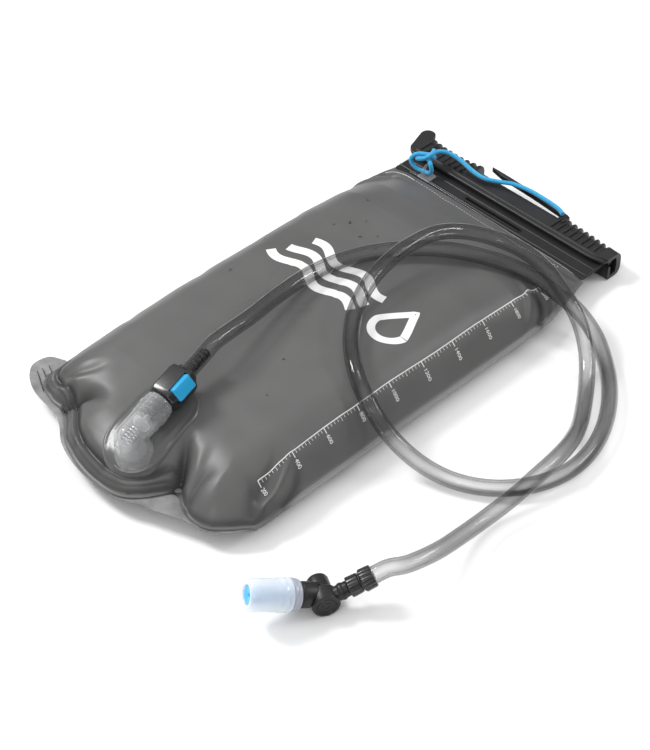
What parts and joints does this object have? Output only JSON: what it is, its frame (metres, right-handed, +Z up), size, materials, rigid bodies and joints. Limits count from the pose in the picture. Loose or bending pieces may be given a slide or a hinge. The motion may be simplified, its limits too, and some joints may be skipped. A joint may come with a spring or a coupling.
{
  "type": "hydration bladder",
  "caption": "Flat soft water reservoir with a slide-on mouth closure, quick-release drink port, free drink tube and bite valve with a rotating shut-off.",
  "frame": {"origin": "centre of the footprint of the bag and its closure, on the surface the bag lies on (drink tube and bite valve left out)", "axes": "+Z up, +Y along the bag from the port end to the mouth, +X across the bag toward the side the drink tube falls on"},
  "size_m": [0.2826, 0.3756, 0.0631],
  "materials": {
    "film": "satin",
    "clear_film": "gloss",
    "black_plastic": "matte",
    "black_film": "matte",
    "clear_plastic": "gloss",
    "white_plastic": "matte",
    "seal": "matte",
    "steel": "brushed",
    "blue_plastic": "satin",
    "tether": "matte",
    "tube": "gloss",
    "grey_plastic": "satin",
    "silicone": "satin"
  },
  "bodies": {
    "reservoir": {"front_panel": "film", "back_panel": "film", "bottom_gusset": "clear_film", "port_patch": "film", "port_elbow": "clear_plastic", "poppet_spring": "steel", "mouth_strip_front": "black_film", "mouth_strip_back": "black_film", "slit_rim": "black_film", "tether_eyelet": "clear_film", "tether_loop": "tether", "tether_knot": "tether", "tether_cord": "tether", "drink_tube": "tube", "valve_housing": "black_plastic", "stem_sleeve": "black_plastic", "tube_collar": "black_plastic"},
    "slider": {"slide_closure": "black_plastic"},
    "plug": {"plug_body": "black_plastic", "plug_nose": "black_plastic", "plug_o_ring_1": "seal", "plug_o_ring_2": "seal", "plug_barb": "black_plastic", "tube_inlet_end": "tube", "button_spring": "steel"},
    "button": {"release_button": "blue_plastic"},
    "poppet": {"check_valve_poppet": "white_plastic"},
    "mouth": {"valve_rotor": "black_plastic", "shutoff_spool": "black_plastic", "spool_o_ring": "seal", "mouth_base_ring": "grey_plastic", "flow_core": "blue_plastic", "bite_mouthpiece": "silicone"}
  },
  "joints": [
    {"name": "slider_pull", "type": "slide", "parent": "reservoir", "child": "slider", "axis": [-1, 0, 0], "range_m": [0, 0.17], "deforming": ["tether_cord"]},
    {"name": "plug_release", "type": "slide", "parent": "reservoir", "child": "plug", "axis": [-0.1356, 0.9649, 0.225], "range_m": [0, 0.022], "deforming": ["drink_tube"]},
    {"name": "button_press", "type": "slide", "parent": "plug", "child": "button", "axis": [-0.8564, 0, -0.5163], "range_m": [0, 0.0012], "stiffness_N_per_m": 600, "springref_m": -0.0008, "deforming": ["button_spring"]},
    {"name": "poppet_lift", "type": "slide", "parent": "reservoir", "child": "poppet", "axis": [-0.1356, 0.9649, 0.225], "range_m": [0, 0.0012], "deforming": ["poppet_spring"]},
    {"name": "shutoff_swivel", "type": "hinge", "parent": "reservoir", "child": "mouth", "pos_m": [0.1601, -0.153, 0.0082], "axis": [0.8852, -0.4651, 0], "range_deg": [-52, 15]}
  ],
  "couplings": [
    {"joint": "poppet_lift", "follows": "plug_release", "ratio": 0.0545}
  ]
}
